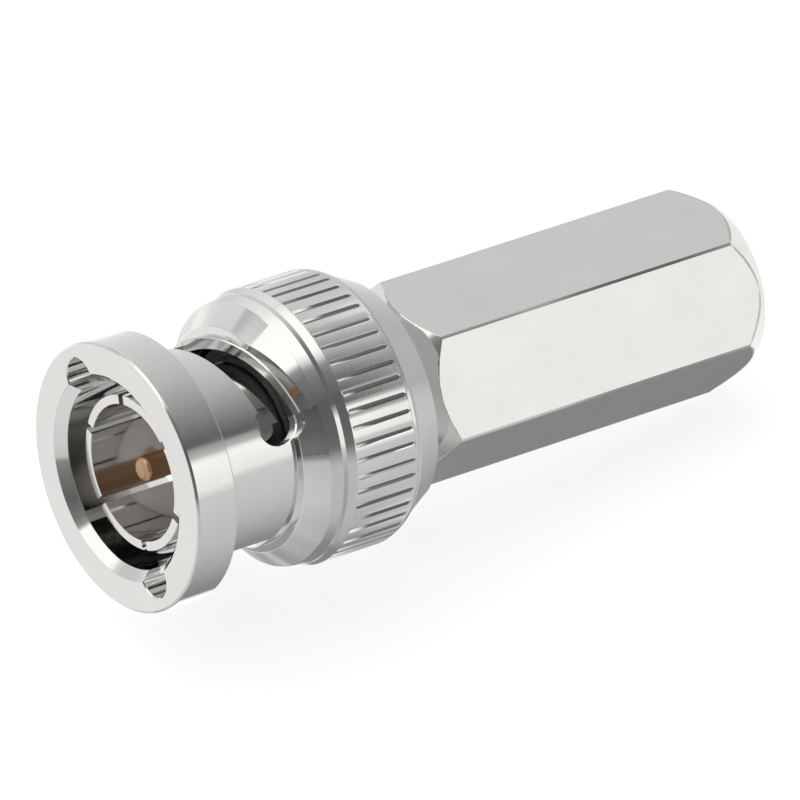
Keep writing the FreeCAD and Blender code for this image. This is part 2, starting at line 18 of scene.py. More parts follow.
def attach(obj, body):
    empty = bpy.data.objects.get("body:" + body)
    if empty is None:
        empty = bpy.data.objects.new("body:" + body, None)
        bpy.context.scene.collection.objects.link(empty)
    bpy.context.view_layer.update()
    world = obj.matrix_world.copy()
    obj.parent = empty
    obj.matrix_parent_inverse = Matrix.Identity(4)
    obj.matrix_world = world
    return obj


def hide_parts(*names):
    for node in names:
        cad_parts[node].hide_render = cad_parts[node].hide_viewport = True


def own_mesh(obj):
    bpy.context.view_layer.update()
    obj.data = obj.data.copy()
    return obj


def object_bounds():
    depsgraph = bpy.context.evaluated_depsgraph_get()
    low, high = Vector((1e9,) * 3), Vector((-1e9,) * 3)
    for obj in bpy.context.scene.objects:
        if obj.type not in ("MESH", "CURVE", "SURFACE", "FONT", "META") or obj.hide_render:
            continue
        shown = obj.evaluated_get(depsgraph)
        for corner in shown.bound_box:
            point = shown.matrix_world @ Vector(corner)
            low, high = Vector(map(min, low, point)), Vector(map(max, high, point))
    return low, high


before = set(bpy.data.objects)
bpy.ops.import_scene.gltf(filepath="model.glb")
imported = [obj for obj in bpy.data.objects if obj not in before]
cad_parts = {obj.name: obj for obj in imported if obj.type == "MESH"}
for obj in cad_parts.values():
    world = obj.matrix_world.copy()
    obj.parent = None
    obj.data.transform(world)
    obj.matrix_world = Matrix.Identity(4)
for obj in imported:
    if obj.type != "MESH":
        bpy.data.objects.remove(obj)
cad_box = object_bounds()
MM = 0.001
print("pieces", sorted(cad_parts))

# %% Two helpers for the whole script
def new_object(name, data):
    """An object in the scene, with its own place at the origin."""
    thing = bpy.data.objects.new(name, data)
    bpy.context.scene.collection.objects.link(thing)
    return thing


def maths(tree, operation, *values):
    """A maths node in any tree. Each value is a number or the output of another node."""
    node = tree.nodes.new("ShaderNodeMath")
    node.operation = operation
    for socket, value in zip(node.inputs, values):
        if isinstance(value, (int, float)):
            socket.default_value = value
        else:
            tree.links.new(value, socket)
    return node.outputs[0]


# %% [markdown]
# ## Camera
# A product photograph like this one is taken from far away with a long lens, so that lines that run
# along the plug stay parallel. Turning a camera by eye until the rings look right takes long. Here its
# right-hand and backward directions are written as the photograph's ellipses give them, and a long
# lens keeps twenty pixels to a millimetre at the nut's front face.

# %% Camera
RIGHT = Vector((0.8058, -0.5820, 0.1120)).normalized()
BACK = Vector((-0.53, -0.6242, 0.574))
BACK = (BACK - RIGHT * BACK.dot(RIGHT)).normalized()
UP = BACK.cross(RIGHT)
PICTURE = 800.0         # pixels across the picture
PX = 20.0               # pixels in a millimetre
AIM = (116.2, 478.2)    # pixel of the middle of the nut's front face
DISTANCE = 0.87
FILM = 36.0


def add_camera():
    data = bpy.data.cameras.new("camera")
    data.lens = DISTANCE / MM * FILM * PX / PICTURE
    data.sensor_width = FILM
    data.clip_start = 0.05
    data.clip_end = 10.0
    nut_face = Vector((cad_box[0][0], 0, 0))
    half = PICTURE / 2
    middle = nut_face + RIGHT * (half - AIM[0]) / PX * MM - UP * (half - AIM[1]) / PX * MM
    turn = Matrix((RIGHT, UP, BACK)).transposed().to_4x4()
    camera = new_object("camera", data)
    camera.matrix_world = Matrix.Translation(middle + BACK * DISTANCE) @ turn
    bpy.context.scene.camera = camera
    print("lens", round(data.lens), "mm")


add_camera()

# %% [markdown]
# ## Backdrop
# The photograph's background is pure white. A white wall would need light of its own, so the world is
# white instead: at full strength wherever the camera, a reflection or a view through glass meets it,
# and at half of that for the light that falls on matt surfaces.

# %% World
def add_world():
    world = bpy.data.worlds.new("studio")
    world.use_nodes = True
    tree = world.node_tree
    nodes, links = tree.nodes, tree.links
    nodes.clear()
    path = nodes.new("ShaderNodeLightPath")
    seen = path.outputs["Is Camera Ray"]
    for way in ("Is Glossy Ray", "Is Transmission Ray"):
        seen = maths(tree, "MAXIMUM", seen, path.outputs[way])
    light = nodes.new("ShaderNodeBackground")
    light.inputs["Color"].default_value = (1, 1, 1, 1)
    links.new(maths(tree, "MULTIPLY_ADD", seen, 0.5, 0.5), light.inputs["Strength"])
    out = nodes.new("ShaderNodeOutputWorld")
    links.new(light.outputs[0], out.inputs["Surface"])
    bpy.context.scene.world = world
    bpy.context.scene.cycles.glossy_bounces = 16   # bright bores pass light on many times
    bpy.context.scene.view_settings.view_transform = "Standard"


add_world()

# %% [markdown]
# ## Light tent
# Bright metal has hardly a colour of its own: it shows what stands round it. The photographer stands
# such a plug in a tent of white and grey cards, and each flat of the barrel picks one card. Lamps
# would give hard bright dots, so the tent here is a glowing tube round the plug's axis.
#
# Its glow is written as the cards stand: for a few places along the tube, a list of angles with the
# glow at each. The angle starts straight up and turns towards -Y, and the glow blends from one angle
# and one place to the next. The lists were written by hand with a measurement beside them. A scratch
# script followed the mirrored line of sight from each surface to the tube and printed how bright the
# photograph is there. The values are those readings, thinned out, rounded and then changed by trial.

# %% Cards round the tent
GLOW_OPENING = [(-180, 1.10), (0, 1.10)]    # the tent's open end, far in front
GLOW_FRONT = [    # in front of the plug: what bevels, slopes and the cone reflect
    (-180, 0.80), (-174, 0.52), (-165, 0.38), (-143, 0.38), (-140, 0.95), (-103, 0.95), (-98, 0.70),
    (-69, 0.68), (-62, 0.85), (-58, 1.18), (-54, 1.28), (-7, 1.28), (-4, 0.75), (-1, 0.36), (9, 0.22),
    (39, 0.14), (75, 0.21), (95, 0.29), (101, 0.68), (117, 0.76), (165, 0.84),
]
GLOW_OUT = [(a, 0.45 if -141 < a < -100 else v) for a, v in GLOW_FRONT]   # further out in front
ABOVE = [         # the cards over the nut, from white through the dark edge to grey
    (-45, 1.03), (-36, 1.19), (-27, 1.27), (1, 1.27), (5, 1.10), (9, 0.80), (12, 0.50), (15, 0.33),
    (21, 0.24), (42, 0.13), (69, 0.15), (78, 0.19), (88, 0.50), (93, 0.60),
]
GLOW_NEAR = [     # beside the nut's front
    (-180, 0.93), (-147, 1.04), (-120, 1.28), (-105, 1.26), (-93, 0.85), (-84, 0.75),
] + ABOVE + [(140, 0.59), (150, 0.64), (165, 0.84)]
GLOW_MIDDLE = [   # beside the nut's slots: what band and bead reflect
    (-180, 0.28), (-157, 0.30), (-147, 0.50), (-117, 0.92), (-93, 0.75), (-75, 0.86),
] + ABOVE + [(129, 0.59), (141, 0.51), (153, 0.38), (165, 0.30)]
GLOW_SIDE = [     # beside the knurl: what every straight wall reflects
    (-180, 0.31), (-166, 0.28), (-163, 0.70), (-158, 1.20), (-120, 1.28), (-112, 1.22), (-105, 1.02),
    (-96, 0.87), (-63, 0.76), (-39, 0.68), (-15, 0.56), (21, 0.28), (39, 0.14), (43, 0.15), (46, 0.40),
    (52, 0.60), (55, 1.05), (58, 1.21), (79, 1.03), (86, 0.74), (111, 0.68), (129, 0.62), (174, 0.35),
]
GLOW_LANDS = [    # beside the knurl: what the lands between its grooves reflect
    (-180, 0.55), (-174, 0.30), (-162, 0.30), (-125, 0.86), (-111, 0.72), (-81, 0.64), (-50, 0.70),
    (-39, 0.78), (-27, 1.00), (-19, 0.98), (-14, 0.68), (20, 0.50), (50, 0.52), (64, 1.02), (78, 1.02),
    (84, 0.66), (128, 0.63), (150, 0.70), (160, 0.85), (170, 0.60),
]
GLOW_EDGES = [    # a little further back, where the corners between flats look
    (-180, 0.28), (-166, 0.27), (-163, 0.70), (-158, 1.28), (-120, 1.20), (-105, 0.90), (-93, 0.80),
    (-45, 0.71), (-39, 0.66), (-20, 0.30), (-8, 0.15), (45, 0.14), (52, 0.60), (57, 1.12), (79, 1.03),
    (84, 0.70), (95, 0.50), (120, 0.36), (165, 0.28),
]
GLOW_FAR = [      # behind the knurl: what the nut's border reflects
    (-180, 0.50), (-165, 0.38), (-152, 0.36), (-147, 0.94), (-141, 1.20), (-123, 0.91), (-99, 0.70),
    (-69, 0.55), (75, 0.53), (129, 0.67), (153, 0.67),
]
ROWS = [          # place along the plug's axis, in metres, and the cards there
    (-3.0, GLOW_OPENING), (-0.60, GLOW_OPENING), (-0.55, GLOW_OUT), (-0.21, GLOW_OUT),
    (-0.20, GLOW_FRONT), (-0.09, GLOW_FRONT), (-0.03, GLOW_NEAR), (0.0, GLOW_NEAR),
    (0.06, GLOW_MIDDLE), (0.12, GLOW_MIDDLE), (0.145, GLOW_SIDE), (0.162, GLOW_SIDE),
    (0.164, GLOW_LANDS), (0.170, GLOW_LANDS), (0.172, GLOW_SIDE),
    (0.18, GLOW_EDGES), (0.20, GLOW_EDGES), (0.225, GLOW_FAR), (6.0, GLOW_FAR),
]
TENT_END = 60.0

# %% [markdown]
# Four more cards lean across the tent, so that their edges cut through several of the rows. Each has
# the place of its front edge, the place of its rear edge and its glow, all three by angle.

# %% Leaning cards
REAR_WHITE = ([(-188, 0.75), (-180, 0.50), (-165, 0.35), (-150, 0.26), (-120, 0.26), (-111, 0.28),
               (-99, 0.37), (-87, 0.52), (-78, 0.80)], [(0, 99.0)], [(0, 1.06)])
FRONT_GREY = ([(98, -0.32), (105, -0.30), (159, -0.12), (171, -0.085), (183, -0.045), (200, 0.0)],
              [(98, -0.06), (160, -0.06), (166, 0.03)],
              [(98, 0.58), (135, 0.52), (141, 0.43), (152, 0.27), (158, 0.28), (165, 0.42), (175, 0.39)])
SLOPE_WHITE = ([(-97, -0.02), (-91, -0.03), (-46, -0.185)], [(0, 0.02)],
               [(-97, 0.92), (-69, 0.95), (-66, 0.47), (-47, 0.43)])
SLOPE_DARK = ([(40, -0.40), (66, -0.385), (92, -0.335)], [(0, -0.20)], [(0, 0.08)])
FRONT_SOFT, REAR_SOFT = 0.015, 0.02    # how far the edges of leaning cards fade, in metres

# %% Tent of soft light
TENT_RADIUS = 0.25
TURNS = 540
ANGLES = np.arange(TURNS) * 360 / TURNS - 180


def by_angle(angles, table):
    return np.interp(angles, *zip(*table))


def glow_of_ring(x):
    """The tent's glow at one place along it, for every angle."""
    stops = [place for place, table in ROWS]
    after = min(max(int(np.searchsorted(stops, x)), 1), len(stops) - 1)
    share = np.clip((x - stops[after - 1]) / (stops[after] - stops[after - 1]), 0, 1)
    one, other = (np.interp(ANGLES, *zip(*ROWS[k][1]), period=360) for k in (after - 1, after))
    level = one + (other - one) * share
    for front, rear, glow in (REAR_WHITE, FRONT_GREY, SLOPE_WHITE, SLOPE_DARK):
        for angles in (ANGLES - 360, ANGLES, ANGLES + 360):
            from_front = (x - by_angle(angles, front)) / FRONT_SOFT
            from_rear = (by_angle(angles, rear) - x) / REAR_SOFT
            reached = (angles >= front[0][0]) & (angles <= front[-1][0])
            inside = np.clip(np.minimum(from_front, from_rear), 0, 1) * reached
            level += (by_angle(angles, glow) - level) * inside
    return level


def glowing_cloth():
    cloth = bpy.data.materials.new("tent_cloth")
    cloth.use_nodes = True
    nodes, links = cloth.node_tree.nodes, cloth.node_tree.links
    nodes.clear()
    value = nodes.new("ShaderNodeAttribute")
    value.attribute_name = "glow"
    light = nodes.new("ShaderNodeEmission")
    light.inputs["Strength"].default_value = 1.0
    links.new(value.outputs["Color"], light.inputs["Color"])
    out = nodes.new("ShaderNodeOutputMaterial")
    links.new(light.outputs[0], out.inputs["Surface"])
    return cloth


def add_tent():
    places = [-3.0, -1.2] + [-0.56 + 0.01 * k for k in range(72)] + [0.16 + 0.002 * k for k in range(15)]
    places += [0.20 + 0.01 * k for k in range(41)] + [0.65, 0.7, 0.8, 1.0, 1.5, 3.0, 6.0, TENT_END]
    turn = np.radians(ANGLES)
    ring = np.stack([-np.sin(turn), np.cos(turn)], -1) * TENT_RADIUS
    corners, colours, faces = [], [], []
    for row, x in enumerate(places):
        corners += [(x, y, z) for y, z in ring]
        level = glow_of_ring(x)
        warm = np.clip((level - 0.8) / 0.3, 0, 1)    # white cards are a little warm, grey ones are not
        tint = (level, level * (1 - 0.012 * warm), level * (1 - 0.035 * warm), np.ones(TURNS))
        colours.append(np.stack(tint, -1).ravel())
        if x == TENT_END:
            break
        for step in range(TURNS):
            a, b = row * TURNS + step, row * TURNS + (step + 1) % TURNS
            faces.append((a, b, b + TURNS, a + TURNS))
    mesh = bpy.data.meshes.new("tent")
    mesh.from_pydata(corners, [], faces)
    field = mesh.attributes.new("glow", "FLOAT_COLOR", "POINT")
    field.data.foreach_set("color", np.concatenate(colours).astype(np.float32))
    mesh.materials.append(glowing_cloth())
    tent = new_object("tent", mesh)
    tent.visible_camera = False
    tent.visible_shadow = False
    print("tent faces", len(faces))


add_tent()

# %% [markdown]
# ## Floor
# Laid on a table, the plug rests on the nut's knurling and on the rear edge of the barrel, which is
# thinner, so the table is drawn a few degrees off the plug's own axis. The floor is mostly white of
# itself to the camera, and the small part that takes light keeps the plug's soft shadow.

# %% Floor
def white_paper():
    paper = bpy.data.materials.new("floor_paper")
    paper.use_nodes = True
    nodes, links = paper.node_tree.nodes, paper.node_tree.links
    nodes.clear()
    matt = nodes.new("ShaderNodeBsdfDiffuse")
    matt.inputs["Color"].default_value = (0.42, 0.42, 0.42, 1)
    own = nodes.new("ShaderNodeEmission")
    own.inputs["Color"].default_value = (1, 1, 1, 1)
    own.inputs["Strength"].default_value = 0.80
    both = nodes.new("ShaderNodeAddShader")
    out = nodes.new("ShaderNodeOutputMaterial")
    links.new(matt.outputs[0], both.inputs[0])
    links.new(own.outputs[0], both.inputs[1])
    links.new(both.outputs[0], out.inputs["Surface"])
    return paper


def add_floor():
    under_knurl, under_rear = Vector((12.4, 0, -7.26)) * MM, Vector((36.2, 0, -4.67)) * MM
    along = (under_rear - under_knurl).normalized()
    across = Vector((0, 1, 0))
    middle = under_knurl + along * 0.01
    count, reach = 96, 0.16
    rim = []
    for step in range(count):
        a = step * 2 * math.pi / count
        rim.append(middle + (along * math.cos(a) + across * math.sin(a)) * reach)
    mesh = bpy.data.meshes.new("floor")
    mesh.from_pydata(rim, [], [tuple(range(count))])
    if mesh.polygons[0].normal.z < 0:
        mesh.flip_normals()
    mesh.materials.append(white_paper())
    floor = new_object("floor", mesh)
    floor.visible_glossy = False
    print("floor", round(2 * reach, 2), "m across")


add_floor()

# %% [markdown]
# ## Finishes
# The nut, the barrel and the sleeve are brass with bright nickel plating. Nickel is a warm, slightly
# grey mirror. Turning leaves very fine rings on it, and polishing leaves soft patches where it is a
# little duller. A picture of scratches would need every piece unwrapped and would smear on the ends.
# Here the rings follow the place along the axis and the distance from it, so that one finish suits
# outsides, faces and bores.

# %% Helpers for finishes
def new_finish(name):
    finish = bpy.data.materials.new(name)
    finish.use_nodes = True
    nodes = finish.node_tree.nodes
    nodes.clear()
    shader = nodes.new("ShaderNodeBsdfPrincipled")
    out = nodes.new("ShaderNodeOutputMaterial")
    finish.node_tree.links.new(shader.outputs[0], out.inputs["Surface"])
    return finish, nodes, finish.node_tree.links, shader


def ring_place(nodes, links, place):
    """Place along the axis and distance from it, in millimetres, as a vector."""
    parts = nodes.new("ShaderNodeSeparateXYZ")
    links.new(place, parts.inputs[0])
    flat = nodes.new("ShaderNodeCombineXYZ")
    links.new(parts.outputs["Y"], flat.inputs["Y"])
    links.new(parts.outputs["Z"], flat.inputs["Z"])
    away = nodes.new("ShaderNodeVectorMath")
    away.operation = "LENGTH"
    links.new(flat.outputs[0], away.inputs[0])
    pair = nodes.new("ShaderNodeCombineXYZ")
    links.new(parts.outputs["X"], pair.inputs["X"])
    links.new(away.outputs["Value"], pair.inputs["Y"])
    scaled = nodes.new("ShaderNodeVectorMath")
    scaled.operation = "SCALE"
    scaled.inputs["Scale"].default_value = 1 / MM
    links.new(pair.outputs[0], scaled.inputs[0])
    return scaled.outputs[0]


def noise(nodes, links, source, scale, detail=3.0, dimensions="3D"):
    node = nodes.new("ShaderNodeTexNoise")
    node.noise_dimensions = dimensions
    node.inputs["Scale"].default_value = scale
    node.inputs["Detail"].default_value = detail
    links.new(source, node.inputs["Vector"])
    return node.outputs["Fac"]


def spread(nodes, links, source, low, high):
    """Stretches the middle of a noise over the whole way from low to high."""
    node = nodes.new("ShaderNodeMapRange")
    node.inputs["From Min"].default_value = 0.3
    node.inputs["From Max"].default_value = 0.7
    node.inputs["To Min"].default_value = low
    node.inputs["To Max"].default_value = high
    links.new(source, node.inputs["Value"])
    return node.outputs["Result"]


def two_tones(nodes, links, source, one, other):
    node = nodes.new("ShaderNodeMix")
    node.data_type = "RGBA"
    node.inputs["A"].default_value = (*one, 1)
    node.inputs["B"].default_value = (*other, 1)
    links.new(spread(nodes, links, source, 0, 1), node.inputs["Factor"])
    return node.outputs["Result"]


def relief(nodes, links, source, height_mm):
    node = nodes.new("ShaderNodeBump")
    node.inputs["Strength"].default_value = 1.0
    node.inputs["Distance"].default_value = height_mm * MM
    links.new(source, node.inputs["Height"])
    return node.outputs["Normal"]


# %% Turned metal finishes
def turned_metal(name, one, other, rough_low, rough_high, ring_height):
    finish, nodes, links, shader = new_finish(name)
    shader.inputs["Metallic"].default_value = 1.0
    place = nodes.new("ShaderNodeTexCoord").outputs["Object"]
    clouds = noise(nodes, links, place, 420.0)
    links.new(two_tones(nodes, links, clouds, one, other), shader.inputs["Base Color"])
    patches = noise(nodes, links, place, 900.0, 5.0)
    links.new(spread(nodes, links, patches, rough_low, rough_high), shader.inputs["Roughness"])
    lines = noise(nodes, links, ring_place(nodes, links, place), 9.0, 4.0, "2D")
    links.new(relief(nodes, links, lines, ring_height), shader.inputs["Normal"])
    return finish


NICKEL = turned_metal("bright_nickel", (0.795, 0.790, 0.782), (0.770, 0.765, 0.757), 0.05, 0.09, 0.0004)
SATIN_NICKEL = turned_metal("satin_nickel", (0.80, 0.795, 0.785), (0.775, 0.77, 0.76), 0.07, 0.12, 0.0004)
GOLD = turned_metal("copper_gold", (0.66, 0.42, 0.265), (0.60, 0.38, 0.24), 0.36, 0.44, 0.0008)
# The pin tip's finish: polished, and its pale colour is a painted highlight.
TIP_GOLD_PAINTED_HIGHLIGHT = turned_metal("polished_gold_painted_highlight", (0.90, 0.80, 0.66), (0.88, 0.78, 0.64), 0.04, 0.06, 0.0002)
SPRING_COPPER = turned_metal("spring_copper", (0.75, 0.60, 0.36), (0.70, 0.55, 0.34), 0.2, 0.3, 0.001)
STEEL = turned_metal("spring_steel", (0.50, 0.49, 0.48), (0.42, 0.41, 0.40), 0.22, 0.34, 0.0012)

# %% [markdown]
# The insulators are a milky white plastic that lets a little light in, and the gasket is dark silicone.
# Neither has turning marks that the eye could find, so their finish is a fine grain and soft clouds.

# %% Plastic and rubber
def soft_finish(name, one, other, rough_low, rough_high, grain_mm):
    finish, nodes, links, shader = new_finish(name)
    place = nodes.new("ShaderNodeTexCoord").outputs["Object"]
    clouds = noise(nodes, links, place, 500.0)
    links.new(two_tones(nodes, links, clouds, one, other), shader.inputs["Base Color"])
    grain = noise(nodes, links, place, 2500.0)
    links.new(spread(nodes, links, grain, rough_low, rough_high), shader.inputs["Roughness"])
    links.new(relief(nodes, links, grain, grain_mm), shader.inputs["Normal"])
    return finish, shader


WHITE_PLASTIC, milky = soft_finish(
    "white_fluoroplastic", (0.82, 0.81, 0.78), (0.76, 0.75, 0.72), 0.35, 0.5, 0.002)
milky.inputs["Subsurface Weight"].default_value = 0.15
milky.inputs["Subsurface Radius"].default_value = (0.0008, 0.0008, 0.0007)
RUBBER = soft_finish("gasket_silicone", (0.13, 0.125, 0.12), (0.10, 0.096, 0.092), 0.4, 0.6, 0.003)[0]

FINISH_OF = {
    "coupling_nut": NICKEL, "hex_body": NICKEL, "outer_contact": NICKEL, "centre_pin": GOLD,
    "conductor_clip": SPRING_COPPER, "front_insulator": WHITE_PLASTIC, "rear_insulator": WHITE_PLASTIC,
    "gasket": RUBBER, "snap_ring": STEEL, "seat_washer": STEEL, "wave_washers": STEEL,
    "thrust_washer": STEEL,
}
for node, finish in FINISH_OF.items():
    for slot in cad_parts[node].material_slots:
        slot.material = finish
print("finishes", len(set(FINISH_OF.values())))

# %% [markdown]
# ## Turning a piece
# Most of the plug comes off a lathe. A turned piece is one outline, written as pairs of place and
# radius with the rounding of each corner, and spun round the axis. A Bevel modifier would round every
# edge alike, but a turner breaks each edge by its own amount, and on bright metal each rounding
# catches its own thin line of light. So each corner of the outline has its own rounding here.

# %% Lathe helpers
def rounded(corners, steps=5):
    """Closed outline with its corners rounded. A corner is place, radius and rounding, in mm."""
    points, count = [], len(corners)
    for i, (x, r, rounding) in enumerate(corners):
        here = Vector((x, r))
        back = Vector(corners[i - 1][:2]) - here
        on = Vector(corners[(i + 1) % count][:2]) - here
        room = 0.47 * min(back.length, on.length)
        back.normalize()
        on.normalize()
        half = back.angle(on) / 2
        if rounding <= 0 or half > 1.55:
            points.append(here)
            continue
        reach = min(rounding / math.tan(half), room)
        radius = reach * math.tan(half)
        centre = here + (back + on).normalized() * (radius / math.sin(half))
        first = math.atan2(*(here + back * reach - centre).yx)
        last = math.atan2(*(here + on * reach - centre).yx)
        sweep = (last - first + math.pi) % (2 * math.pi) - math.pi
        for step in range(steps + 1):
            a = first + sweep * step / steps
            points.append(centre + Vector((math.cos(a), math.sin(a))) * radius)
    return points


def finer(points, low, high, least_radius, step):
    """Splits the long runs between two places, where a later cut needs points to bend."""
    out, count = [], len(points)
    for i, here in enumerate(points):
        there = points[(i + 1) % count]
        out.append(here)
        inside = low <= min(here.x, there.x) and max(here.x, there.x) <= high
        if inside and min(here.y, there.y) >= least_radius:
            parts = max(1, math.ceil((there - here).length / step))
            out += [here.lerp(there, k / parts) for k in range(1, parts)]
    return out


def even_angles(count):
    return [i * 2 * math.pi / count for i in range(count)]


def on_lathe(place, radius, angle):
    return Vector((place, -radius * math.sin(angle), radius * math.cos(angle))) * MM


# %% Spinning and joining points into solids
def object_from(name, work):
    """Turns a working mesh into an object, with its faces outwards."""
    bmesh.ops.recalc_face_normals(work, faces=work.faces)
    mesh = bpy.data.meshes.new(name)
    work.to_mesh(mesh)
    work.free()
    return new_object(name, mesh)


def turn_piece(name, outline, angles):
    """Spins a closed outline. A point on the axis becomes a single pole."""
    work = bmesh.new()
    rings = []
    for p in outline:
        round_it = [0.0] if p.y < 1e-6 else angles
        rings.append([work.verts.new(on_lathe(p.x, p.y, a)) for a in round_it])
    for one, other in zip(rings, rings[1:] + rings[:1]):
        if len(one) == 1 and len(other) == 1:
            continue
        for i in range(len(angles)):
            j = (i + 1) % len(angles)
            if len(one) == 1:
                work.faces.new((one[0], other[i], other[j]))
            elif len(other) == 1:
                work.faces.new((one[i], other[0], one[j]))
            else:
                work.faces.new((one[i], other[i], other[j], one[j]))
    return object_from(name, work)


def solid_from(name, corners, faces):
    work = bmesh.new()
    verts = [work.verts.new(c) for c in corners]
    for f in faces:
        work.faces.new([verts[i] for i in f])
    return object_from(name, work)


def tube_faces(first, rings, count):
    """Sides and both ends of a tube whose corners come ring by ring, from corner number first."""
    faces = []
    for row in range(rings - 1):
        for k in range(count):
            a, b = first + row * count + k, first + row * count + (k + 1) % count
            faces.append((a, b, b + count, a + count))
    last = first + (rings - 1) * count
    return faces + [tuple(range(first, first + count)), tuple(range(last, last + count))]


# %% Cutting, checking and finishing a piece
def plain_mesh(piece):
    """Keeps the shape that the modifiers give, as one plain mesh."""
    bpy.context.view_layer.update()
    shown = piece.evaluated_get(bpy.context.evaluated_depsgraph_get())
    mesh = bpy.data.meshes.new_from_object(shown)
    piece.modifiers.clear()
    piece.data = mesh
    return piece


def cut(piece, cutter):
    """Takes the cutter's solid out of the piece and throws the cutter away."""
    tool = piece.modifiers.new("cut", "BOOLEAN")
    tool.operation = "DIFFERENCE"
    tool.solver = "EXACT"
    tool.object = cutter
    plain_mesh(piece)
    bpy.data.objects.remove(cutter)


def open_edges(piece):
    work = bmesh.new()
    work.from_mesh(piece.data)
    faults = sum(1 for e in work.edges if len(e.link_faces) != 2)
    work.free()
    return faults


def one_finish(piece, finish):
    piece.data.materials.clear()
    piece.data.materials.append(finish)


# %% [markdown]
# ## Shading a turned piece
# After cutting, a turned surface is made of odd many-sided faces, and a mirror shows every uneven
# normal. Weighted normals only soften that. The outline knows the true direction at each point, so
# the corners of the turned faces get it from there, and the faces that a cutter left keep their own.

# %% Smooth faces with sharp edges
def shade_smooth(piece, sharp_degrees):
    work = bmesh.new()
    work.from_mesh(piece.data)
    for f in work.faces:
        f.smooth = True
    for edge in work.edges:
        edge.smooth = len(edge.link_faces) == 2 and edge.calc_face_angle(0) < math.radians(sharp_degrees)
    work.to_mesh(piece.data)
    work.free()


# %% Directions that the outline gives
SHARP = 28.0       # degrees: edges that turn more than this stay sharp
LONG_RUN = 0.12    # mm: a straight run longer than this is flat up to its ends


def outline_runs(outline):
    """Start, run, length and outward direction of each straight run of a closed outline."""
    points = np.array([[q.x, q.y] for q in outline])
    nexts = np.roll(points, -1, 0)
    runs = nexts - points
    lengths = np.hypot(runs[:, 0], runs[:, 1])
    area = np.sum(points[:, 0] * nexts[:, 1] - nexts[:, 0] * points[:, 1])
    normals = np.stack([runs[:, 1], -runs[:, 0]], -1) / lengths[:, None] * np.sign(area)
    return points, runs, lengths, normals


def end_directions(lengths, normals):
    """Directions at both ends of each run. Short runs share theirs, and take a long neighbour's."""
    before, after = np.roll(normals, 1, 0), np.roll(normals, -1, 0)
    met = normals + before
    met /= np.hypot(met[:, 0], met[:, 1])[:, None]
    soft = (np.sum(normals * before, 1) > math.cos(math.radians(SHARP)))[:, None]
    flat = (lengths > LONG_RUN)[:, None]
    start = np.where(soft, np.where(np.roll(flat, 1, 0), before, met), normals)
    end = np.where(np.roll(flat, -1, 0), after, np.roll(met, -1, 0))
    end = np.where(np.roll(soft, -1, 0), end, normals)
    return np.where(flat, normals, start), np.where(flat, normals, end)


# %% True directions for turned faces
def values_of(items, name, width=1, kind=float):
    """One value, or a row of values, for each item of a mesh."""
    values = np.empty(len(items) * width, kind)
    items.foreach_get(name, values)
    return values.reshape(-1, width) if width > 1 else values


def shade_turned(piece, outline, left_alone=None, own_rule=None):
    """Gives turned faces their outline's directions. own_rule may set some of the rest by a formula."""
    shade_smooth(piece, SHARP)
    mesh = piece.data
    directions = values_of(mesh.corner_normals, "vector", 3)
    place = (values_of(mesh.vertices, "co", 3) / MM)[values_of(mesh.loops, "vertex_index", kind=int)]
    sizes = values_of(mesh.polygons, "loop_total", kind=int)
    of_face = values_of(mesh.polygons, "normal", 3)[np.repeat(np.arange(len(sizes)), sizes)]
    x, away = place[:, 0], np.hypot(place[:, 1], place[:, 2])
    turn = np.arctan2(-place[:, 1], place[:, 2])
    out = np.stack([-np.sin(turn), np.cos(turn)], -1)
    spot = np.stack([x, away], -1)
    facing = np.stack([of_face[:, 0], np.sum(of_face[:, 1:] * out, 1)], -1)
    points, runs, lengths, normals = outline_runs(outline)
    starts, ends = end_directions(lengths, normals)
    nearest = np.full(len(x), np.inf)
    chosen = np.zeros((len(x), 2))
    for i in range(len(points)):
        share = ((spot - points[i]) @ runs[i]) / lengths[i] ** 2
        off = np.abs((spot - points[i]) @ normals[i])
        good = (share > -0.02) & (share < 1.02) & (off < 0.006) & (off < nearest)
        good &= facing @ normals[i] > 0.94
        share = np.clip(share[good], 0, 1)[:, None]
        chosen[good] = starts[i] * (1 - share) + ends[i] * share
        nearest[good] = off[good]
    known = np.isfinite(nearest)
    if left_alone is not None:
        known &= ~left_alone(x, away)
    chosen /= np.maximum(np.hypot(chosen[:, 0], chosen[:, 1]), 1e-9)[:, None]
    directions[known, 0] = chosen[known, 0]
    directions[known, 1:] = chosen[known, 1:] * out[known]
    if own_rule is not None:
        picked, by_rule = own_rule(x, away, turn, facing[:, 1])
        directions[picked] = by_rule[picked]
    mesh.normals_split_custom_set([tuple(n) for n in directions])
    print(piece.name, "true corners", int(known.sum()), "of", len(x), "open edges", open_edges(piece))


# %% [markdown]
# ## Repeating a cutter
# Knurl grooves and contact slots are one small cut, repeated round the axis. An Array modifier with
# an empty would do for even copies, but a node tree also holds the count, the start and a little
# unevenness as named sizes. Each tree in this script starts and ends in the same way.

# %% Start, end and sizes of a node tree
def new_tree(name, sizes):
    """A tree that takes a shape, the named sizes and a finish, and gives a shape."""
    tree = bpy.data.node_groups.new(name, "GeometryNodeTree")
    for title, kind in [("Geometry", "Geometry"), *sizes, ("Finish", "Material")]:
        tree.interface.new_socket(title, in_out="INPUT", socket_type="NodeSocket" + kind)
    tree.interface.new_socket("Geometry", in_out="OUTPUT", socket_type="NodeSocketGeometry")
    return tree, tree.nodes, tree.links, tree.nodes.new("NodeGroupInput").outputs


